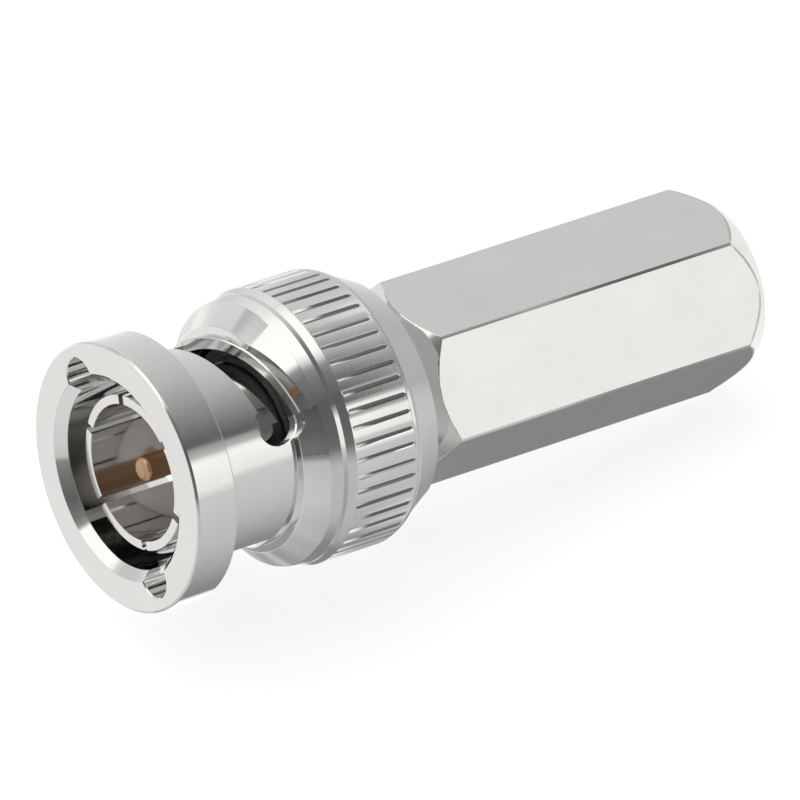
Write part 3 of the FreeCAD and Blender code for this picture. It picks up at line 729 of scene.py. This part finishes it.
def end_tree(tree, given, shape):
    """Makes copies real, gives them their finish and hands them out."""
    solid = tree.nodes.new("GeometryNodeRealizeInstances")
    finish = tree.nodes.new("GeometryNodeSetMaterial")
    result = tree.nodes.new("NodeGroupOutput")
    tree.links.new(shape, solid.inputs["Geometry"])
    tree.links.new(solid.outputs["Geometry"], finish.inputs["Geometry"])
    tree.links.new(given["Finish"], finish.inputs["Material"])
    tree.links.new(finish.outputs["Geometry"], result.inputs["Geometry"])
    return tree


def shaped_by(piece, tree, sizes):
    """Runs a tree on a piece. Each named input is set by the identifier of its socket."""
    modifier = piece.modifiers.new(tree.name, "NODES")
    modifier.node_group = tree
    for item in tree.interface.items_tree:
        if item.in_out == "INPUT" and item.name in sizes:
            modifier[item.identifier] = sizes[item.name]
    return plain_mesh(piece)


# %% Node tree that repeats a shape round the axis
def repeat_tree():
    tree, nodes, links, given = new_tree("repeat_round_axis", [
        ("Count", "Int"), ("Start", "Float"), ("Unevenness", "Float"), ("Seed", "Int")])
    points = nodes.new("GeometryNodePoints")
    links.new(given["Count"], points.inputs["Count"])
    index = nodes.new("GeometryNodeInputIndex")
    pitch = maths(tree, "DIVIDE", 2 * math.pi, given["Count"])
    even = maths(tree, "MULTIPLY_ADD", index.outputs[0], pitch, given["Start"])
    chance = nodes.new("FunctionNodeRandomValue")
    chance.data_type = "FLOAT"
    links.new(given["Seed"], chance.inputs["Seed"])
    links.new(maths(tree, "MULTIPLY", given["Unevenness"], -1.0), chance.inputs[2])
    links.new(given["Unevenness"], chance.inputs[3])
    turn = nodes.new("ShaderNodeCombineXYZ")
    links.new(maths(tree, "ADD", even, chance.outputs[1]), turn.inputs["X"])
    copies = nodes.new("GeometryNodeInstanceOnPoints")
    links.new(points.outputs[0], copies.inputs["Points"])
    links.new(given["Geometry"], copies.inputs["Instance"])
    links.new(turn.outputs[0], copies.inputs["Rotation"])
    return end_tree(tree, given, copies.outputs[0])


REPEAT = repeat_tree()


def repeated(solid, count, start, unevenness, seed):
    return shaped_by(solid, REPEAT, {"Count": count, "Start": start, "Unevenness": unevenness,
                                     "Seed": seed, "Finish": NICKEL})


# %% [markdown]
# ## Coupling nut
# The nut is one turned piece: a rim, a thin barrel with the bayonet track, and a collar with straight
# knurling. It is spun from its outline, and then four sets of cutters make the lug entries, the two
# spiral slots, the round locking pockets and the knurl grooves, in the order of the real milling.

# %% Nut blank
LUG = math.radians(-47.1)   # where the first lug goes in, from +Z towards -Y
LUGS = (LUG, LUG + math.pi)
BORDER_ROUND = 1.3   # rounding of the plain border behind the knurl
KNURL_FRONT, KNURL_REAR, KNURL_RADIUS = 8.68, 12.30, 7.25
NUT_OUTLINE = rounded([
    (-1.0, 6.95, 0.04), (-0.9, 7.05, 0.10), (1.42, 7.03, 0.08), (1.42, 5.5, 0.06),
    (6.24, 5.5, 0.05), (6.30, 5.90, 0.12), (7.31, 6.91, 0.05), (7.42, 6.95, 0.06),
    (7.93, 7.08, 0.03), (8.22, 7.07, 0.03), (KNURL_FRONT, KNURL_RADIUS, 0.12),
    (KNURL_REAR, KNURL_RADIUS, 0.02), (12.34, 7.20, 0.02), (12.60, 7.20, BORDER_ROUND), (14.4, 6.25, 0.06),
    (14.4, 5.0, 0.06), (12.4, 5.0, 0.03), (12.4, 4.18, 0.05), (11.2, 4.18, 0.05), (11.2, 4.9, 0.03),
    (-0.5, 4.9, 0.05), (-1.0, 5.4, 0.03),
], 9)
LANDS = 52
KNURL_START = LUG + math.radians(1.3)
KNURL_PITCH = 2 * math.pi / LANDS
NUT_ROWS = finer(NUT_OUTLINE, 8.6, 12.29, 7.2, 0.3)
nut = turn_piece("nut_finished", NUT_ROWS, [KNURL_START + a for a in even_angles(8 * LANDS)])
print("nut blank", len(nut.data.polygons))

# %% [markdown]
# Rolling the knurl leaves each land a little domed, and no two lean quite alike. Without that every
# land would mirror the same stripe of the tent. The dome is a parabola across the land, and the same
# parabola gives the direction of the metal at each corner.

# %% Domed lands
CROWN = 0.034   # how far a land's edges lie below its middle, in mm
LEANS = np.random.default_rng(11).uniform(-0.012, 0.012, LANDS)


def across_land(turn):
    """Number of the land at an angle, and the place across it, from -1 to 1."""
    lands = (turn - KNURL_START) / KNURL_PITCH
    number = np.floor(lands)
    return np.int64(number) % LANDS, (lands - number) * 2 - 1


def crown_lands(piece):
    for v in piece.data.vertices:
        x, away = v.co.x / MM, math.hypot(v.co.y, v.co.z) / MM
        if away < KNURL_RADIUS - 0.05 or not KNURL_FRONT + 0.02 < x < KNURL_REAR:
            continue
        ramp = min((x - KNURL_FRONT - 0.02) / 0.12, 1)
        land, side = across_land(math.atan2(-v.co.y, v.co.z))
        drop = ramp * (CROWN * side * side + LEANS[land] * side)
        v.co.y *= 1 - drop / away
        v.co.z *= 1 - drop / away


def in_knurl(x, away):
    return (x > KNURL_FRONT - 0.02) & (x < KNURL_REAR + 0.01) & (away > 7.0)


def land_directions(x, away, turn, facing_out):
    """Which corners lie on lands, and the direction of the dome there."""
    land, side = across_land(turn)
    lean = (2 * CROWN * side + LEANS[land]) / (KNURL_PITCH / 2 * KNURL_RADIUS)
    on_land = in_knurl(x, away) & (away > 7.1) & (facing_out > 0.93)
    direction = [0 * turn, -np.sin(turn) - lean * np.cos(turn), np.cos(turn) - lean * np.sin(turn)]
    return on_land, np.stack(direction, -1) / np.hypot(1.0, lean)[:, None]


crown_lands(nut)

# %% [markdown]
# Each lug of a socket slides in along a round-bottomed groove, follows a spiral slot for a quarter
# turn and drops into a round pocket. The cutters flare just under the surface, which leaves a small
# bevel along each cut, as a maker's deburring does.

# %% Lug entries
ENTRY_RADIUS = 1.08
ENTRY_AWAY = 5.3    # distance of the groove's middle from the axis


def entry_cutter():
    rows = [(-1.3, ENTRY_RADIUS + 0.36), (-0.94, ENTRY_RADIUS), (5.35, ENTRY_RADIUS)]
    corners, faces, count = [], [], 48
    for turn in LUGS:
        centre = on_lathe(0, ENTRY_AWAY, turn)
        faces += tube_faces(len(corners), len(rows), count)
        for x, radius in rows:
            for a in even_angles(count):
                corners.append(centre + Vector((x, radius * math.cos(a), radius * math.sin(a))) * MM)
    return solid_from("entry_cutter", corners, faces)


cut(nut, entry_cutter())
print("entries", len(nut.data.polygons))

# %% Spiral slots and pockets
FLARE = [(4.3, 0.0), (5.44, 0.0), (5.52, 0.06), (7.40, 0.06)]   # radius, and how much wider the cut is there
TRACK_START = 4.3     # place of the slot's middle at the lug entry
TRACK_LEAD = 6.6      # mm forward in a full turn
TRACK_HALF = 1.05
TRACK_ANGLES = range(-4, 94, 2)
POCKET_TURN = math.radians(93.5)
POCKET_PLACE = 5.55
POCKET_RADIUS = 1.12
WALL_RADIUS = 5.5


def track_cutter():
    corners, faces = [], []
    for lug in LUGS:
        faces += tube_faces(len(corners), len(TRACK_ANGLES), 2 * len(FLARE))
        for degrees in TRACK_ANGLES:
            x, a = TRACK_START + TRACK_LEAD * degrees / 360, lug + math.radians(degrees)
            for radius, wider in FLARE:
                corners.append(on_lathe(x - TRACK_HALF - wider, radius, a))
            for radius, wider in reversed(FLARE):
                corners.append(on_lathe(x + TRACK_HALF + wider, radius, a))
    return solid_from("track_cutter", corners, faces)


def pocket_cutter():
    corners, faces, count = [], [], 48
    for lug in LUGS:
        faces += tube_faces(len(corners), len(FLARE), count)
        for radius, wider in FLARE:
            reach = POCKET_RADIUS + wider
            for a in even_angles(count):
                turn = lug + POCKET_TURN + reach * math.sin(a) / WALL_RADIUS
                corners.append(on_lathe(POCKET_PLACE + reach * math.cos(a), radius, turn))
    return solid_from("pocket_cutter", corners, faces)


cut(nut, track_cutter())
cut(nut, pocket_cutter())
print("tracks", len(nut.data.polygons))

# %% [markdown]
# The grooves are pressed in with a sharp wheel, so each is a V that runs out at both ends. They don't
# stand quite evenly, as on the real nut.

# %% Knurl grooves
GROOVE_TOP = 7.45
GROOVE_FLOOR = [(KNURL_FRONT, 7.30), (8.76, 7.08), (12.12, 7.08), (12.32, 7.24)]   # of the V's foot
GROOVE_SLOPE = 0.80   # half width for each mm of depth


def groove_cutter():
    corners = []
    for x, low in GROOVE_FLOOR:
        half = GROOVE_SLOPE * (GROOVE_TOP - low)
        for across, radius in ((-half, GROOVE_TOP), (half, GROOVE_TOP), (0.0, low)):
            corners.append(Vector((x, across, radius)) * MM)
    return solid_from("groove_cutter", corners, tube_faces(0, len(GROOVE_FLOOR), 3))


cut(nut, repeated(groove_cutter(), LANDS, KNURL_START, math.radians(0.35), 7))
shade_turned(nut, NUT_OUTLINE, left_alone=in_knurl, own_rule=land_directions)
one_finish(nut, NICKEL)
print("nut faces", len(nut.data.polygons))

# %% Nut joins the frame
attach(nut, "nut")
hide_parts("coupling_nut")

# %% [markdown]
# ## Hexagonal barrel
# The barrel starts as a turned bar with a cone behind its neck and a bevel at its rear, and six flats
# are milled on it. Cutting them with a boolean would leave knife edges. Here the flats follow one
# rule: at each angle the radius may be no more than the flat's distance divided by the cosine of the
# angle from its middle. A node tree applies the rule to the turned blank with a soft minimum, which
# also rounds every edge between a flat and a turned surface.

# %% Barrel blank
BARREL_OUTLINE = rounded([
    (8.30, 3.45, 0.04), (8.30, 4.1, 0.06), (8.60, 4.1, 0.03), (8.60, 3.8, 0.03), (9.04, 3.8, 0.03),
    (9.04, 4.1, 0.03), (12.45, 4.1, 0.04), (12.45, 4.8, 0.08), (13.90, 4.8, 0.08), (13.90, 3.9, 0.06),
    (15.15, 3.9, 0.06), (16.622, 5.3726, 0.04), (34.9, 5.3726, 0.04), (36.5, 4.4226, 0.12),
    (36.5, 3.55, 0.05), (36.05, 3.1, 0.05), (21.0, 3.1, 0.03), (21.0, 2.6, 0.03), (14.0, 2.6, 0.03),
    (14.0, 3.0, 0.03), (11.02, 3.0, 0.03), (11.02, 3.45, 0.03),
])
BARREL_ROWS = finer(finer(BARREL_OUTLINE, 15.1, 16.7, 3.8, 0.03), 34.8, 36.5, 4.3, 0.03)


def corner_angles(count):
    """Angles that crowd together at the hexagon's six corners."""
    return [u + 0.86 * math.sin(6 * u) / 6 for u in even_angles(count)]


barrel = turn_piece("barrel_finished", BARREL_ROWS, corner_angles(360))
print("barrel blank", len(barrel.data.polygons))

# %% Node tree that mills the flats
def flats_tree():
    tree, nodes, links, given = new_tree("mill_six_flats", [
        ("Half across flats", "Float"), ("Edge softness", "Float"), ("Start", "Float"),
        ("Least radius", "Float")])
    place = nodes.new("GeometryNodeInputPosition")
    parts = nodes.new("ShaderNodeSeparateXYZ")
    links.new(place.outputs[0], parts.inputs[0])
    x, y, z = parts.outputs
    squares = maths(tree, "ADD", maths(tree, "MULTIPLY", y, y), maths(tree, "MULTIPLY", z, z))
    away = maths(tree, "SQRT", squares)
    angle = maths(tree, "ARCTAN2", y, z)
    sixth = math.pi / 3
    nearest = maths(tree, "MULTIPLY", maths(tree, "ROUND", maths(tree, "DIVIDE", angle, sixth)), sixth)
    from_flat = maths(tree, "COSINE", maths(tree, "SUBTRACT", angle, nearest))
    limit = maths(tree, "DIVIDE", given["Half across flats"], from_flat)
    milled = maths(tree, "SMOOTH_MIN", away, limit, given["Edge softness"])
    share = maths(tree, "DIVIDE", milled, maths(tree, "MAXIMUM", away, 1e-9))
    moved = nodes.new("ShaderNodeCombineXYZ")
    links.new(x, moved.inputs["X"])
    links.new(maths(tree, "MULTIPLY", y, share), moved.inputs["Y"])
    links.new(maths(tree, "MULTIPLY", z, share), moved.inputs["Z"])
    behind = maths(tree, "GREATER_THAN", x, given["Start"])
    outside = maths(tree, "GREATER_THAN", away, given["Least radius"])
    shift = nodes.new("GeometryNodeSetPosition")
    links.new(given["Geometry"], shift.inputs["Geometry"])
    links.new(maths(tree, "MULTIPLY", behind, outside), shift.inputs["Selection"])
    links.new(moved.outputs[0], shift.inputs["Position"])
    return end_tree(tree, given, shift.outputs[0])


shaped_by(barrel, flats_tree(), {"Half across flats": 4.69 * MM, "Edge softness": 0.012 * MM,
                                 "Start": 14.25 * MM, "Least radius": 3.7 * MM, "Finish": NICKEL})
shade_smooth(barrel, 14)
print("barrel faces", len(barrel.data.polygons), "open edges", open_edges(barrel))

# %% Barrel joins the frame
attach(barrel, "plug_body")
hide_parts("hex_body")

# %% [markdown]
# ## Slotted sleeve
# The outer contact is a thin sleeve with a rounded tip. Six narrow saw cuts make it springy. One saw
# cut is a plain box, and the repeating tree sets six of them, all alike.

# %% Sleeve
SAW_HALF = 0.2
SAW_START = math.radians(-25.5)
SLEEVE_OUTLINE = rounded([
    (0.0, 3.57, 0.02), (0.0, 4.085, 0.06), (8.28, 4.085, 0.05), (8.28, 3.44, 0.03), (11.0, 3.44, 0.05),
    (11.0, 3.0, 0.03), (7.6, 3.0, 0.05), (7.6, 3.57, 0.03),
])
sleeve = turn_piece("sleeve_finished", SLEEVE_OUTLINE, even_angles(240))


def saw_cutter():
    corners = []
    for x in (-0.3, 6.3):
        for half, radius in ((-SAW_HALF, 3.2), (SAW_HALF, 3.2), (SAW_HALF, 4.4), (-SAW_HALF, 4.4)):
            corners.append(Vector((x, half, radius)) * MM)
    return solid_from("saw_cutter", corners, tube_faces(0, 2, 4))


cut(sleeve, repeated(saw_cutter(), 6, SAW_START, 0.0, 1))
shade_turned(sleeve, SLEEVE_OUTLINE)
one_finish(sleeve, SATIN_NICKEL)
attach(sleeve, "plug_body")
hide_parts("outer_contact")

# %% [markdown]
# ## Centre pin
# The pin is turned from copper alloy and plated, with a dull skin. Its nose is almost round. The tiny
# flat that the cutter leaves at the end gets a finish of its own: polished, with a pale painted highlight.

# %% Pin
TIP_FLAT = 0.09    # radius within which the nose is polished and has a pale painted highlight
PIN_OUTLINE = rounded([
    (0.5, 0.0, 0), (0.5, 0.675, 0.595), (5.6, 0.675, 0.03), (5.6, 0.9, 0.04), (9.9, 0.9, 0.03),
    (9.9, 1.2, 0.05), (10.6, 1.2, 0.05), (10.6, 0.9, 0.03), (17.4, 0.9, 0.08), (17.4, 0.6, 0.03),
    (13.0, 0.6, 0.02), (13.0, 0.0, 0),
], 7)
pin = turn_piece("pin_finished", PIN_OUTLINE, even_angles(96))
shade_turned(pin, PIN_OUTLINE)
one_finish(pin, GOLD)
pin.data.materials.append(TIP_GOLD_PAINTED_HIGHLIGHT)
# Faces on the tip's flat take the polished finish with the pale painted highlight.
for face in pin.data.polygons:
    middle = face.center / MM
    if middle.x < 0.51 and math.hypot(middle.y, middle.z) < TIP_FLAT:
        face.material_index = 1
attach(pin, "plug_body")
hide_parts("centre_pin")

# %% [markdown]
# ## Thread that grips the cable
# The rear bore is tapped, so that the cable's jacket can be screwed in. The ridge is a round bar wound
# round the bore and sunk for more than half into its wall. A Screw modifier could wind it too. The
# node tree sweeps a small circle along Blender's own spiral, which keeps the turns, the length and
# the height of the ridge as plain sizes.

# %% Thread
def thread_tree():
    tree, nodes, links, given = new_tree("wound_ridge", [
        ("Turns", "Float"), ("Bore", "Float"), ("Length", "Float"), ("Ridge", "Float"), ("Rear", "Float")])
    spiral = nodes.new("GeometryNodeCurveSpiral")
    spiral.inputs["Resolution"].default_value = 72
    links.new(given["Turns"], spiral.inputs["Rotations"])
    links.new(given["Bore"], spiral.inputs["Start Radius"])
    links.new(given["Bore"], spiral.inputs["End Radius"])
    links.new(given["Length"], spiral.inputs["Height"])
    bar = nodes.new("GeometryNodeCurvePrimitiveCircle")
    bar.inputs["Resolution"].default_value = 12
    links.new(given["Ridge"], bar.inputs["Radius"])
    wound = nodes.new("GeometryNodeCurveToMesh")
    wound.inputs["Fill Caps"].default_value = True
    links.new(spiral.outputs["Curve"], wound.inputs["Curve"])
    links.new(bar.outputs["Curve"], wound.inputs["Profile Curve"])
    place = nodes.new("ShaderNodeCombineXYZ")
    links.new(given["Rear"], place.inputs["X"])
    laid = nodes.new("GeometryNodeTransform")
    laid.inputs["Rotation"].default_value = (0, math.radians(-90), 0)
    links.new(place.outputs[0], laid.inputs["Translation"])
    links.new(wound.outputs["Mesh"], laid.inputs["Geometry"])
    return end_tree(tree, given, laid.outputs["Geometry"])


thread = new_object("thread_finished", bpy.data.meshes.new("thread_finished"))
shaped_by(thread, thread_tree(), {"Turns": 7.5, "Bore": 3.15 * MM, "Length": 8.0 * MM, "Ridge": 0.20 * MM,
                                  "Rear": 35.7 * MM, "Finish": NICKEL})
print("thread faces", len(thread.data.polygons), "open edges", open_edges(thread))
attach(thread, "plug_body")

# %% [markdown]
# ## Wave washers
# Two thin waved rings push the nut back when a plug is locked. Sliding the nut forward squeezes them
# towards the seat washer. The rings are drawn point by point with a cosine, three waves to a turn.

# %% Wave washers
WAVE_HEIGHT = 0.28
SHEET = 0.15
RING_IN, RING_OUT = 4.2, 4.76


def waved_ring(corners, faces, front, swing):
    first, steps = len(corners), 144
    for a in even_angles(steps):
        along = front + WAVE_HEIGHT * (1 + swing * math.cos(3 * a))
        back = along + SHEET
        for x, radius in ((along, RING_IN), (along, RING_OUT), (back, RING_OUT), (back, RING_IN)):
            corners.append(on_lathe(x, radius, a))
    for step in range(steps):
        here, on = first + step * 4, first + (step + 1) % steps * 4
        for k in range(4):
            faces.append((here + k, here + (k + 1) % 4, on + (k + 1) % 4, on + k))


def wave_pair():
    corners, faces = [], []
    waved_ring(corners, faces, 9.40, 1.0)
    waved_ring(corners, faces, 10.13, -1.0)
    return solid_from("waves_finished", corners, faces)


waves = wave_pair()
one_finish(waves, STEEL)
print("wave washer faces", len(waves.data.polygons), "open edges", open_edges(waves))
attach(waves, "plug_body")
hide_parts("wave_washers")
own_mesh(waves)
